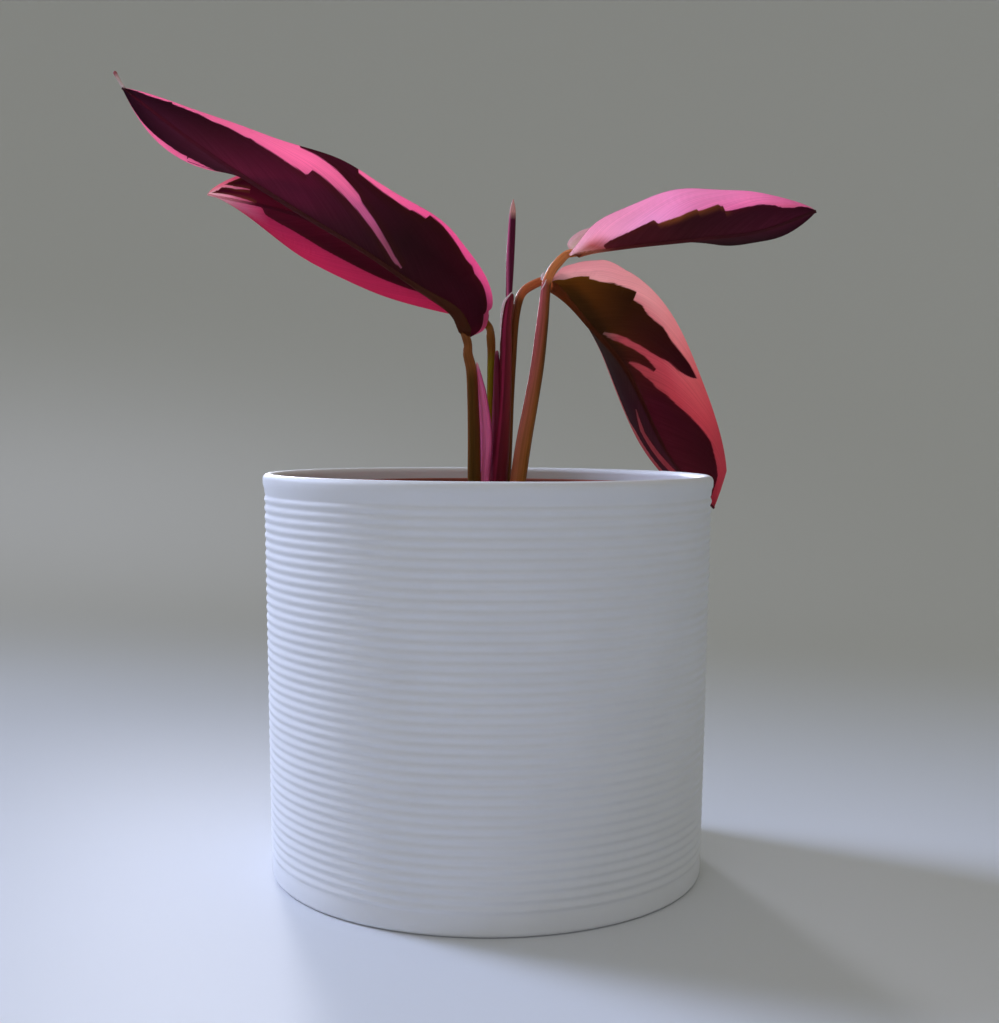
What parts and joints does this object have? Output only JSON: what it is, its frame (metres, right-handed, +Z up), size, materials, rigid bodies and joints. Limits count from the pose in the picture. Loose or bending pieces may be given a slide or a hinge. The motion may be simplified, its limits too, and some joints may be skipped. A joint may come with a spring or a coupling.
{
  "type": "potted stromanthe triostar",
  "caption": "Potted prayer plant with pink and maroon leaves on tall stalks and a rolled new leaf, in a plastic nursery pot inside a ribbed white ceramic cover pot.",
  "frame": {"origin": "centre of the cover pot's flat foot, on the surface that it stands on", "axes": "+Z up along the pot's axis, +X towards the side with the upright and the drooping right leaf, -Y towards the front"},
  "size_m": [0.1921, 0.14, 0.2324],
  "materials": {
    "glazed_ceramic": "satin white glaze",
    "nursery_plastic": "moulded, slightly glossy lip",
    "potting_soil": "crumbly, moist",
    "stalk": "smooth plant skin",
    "rolled_leaf": "smooth, satin",
    "leaf_blade": "satin, finely ribbed by its veins"
  },
  "bodies": {
    "root": {"cover_pot": "glazed_ceramic", "nursery_pot": "nursery_plastic", "soil": "potting_soil", "petiole_left_front": "stalk", "petiole_left_back": "stalk", "petiole_right_upper": "stalk", "petiole_right_drooping": "stalk", "leaf_rolled": "rolled_leaf", "leaf_left_front": "leaf_blade", "leaf_left_back": "leaf_blade", "leaf_right_upper": "leaf_blade", "leaf_right_drooping": "leaf_blade"}
  },
  "joints": []
}
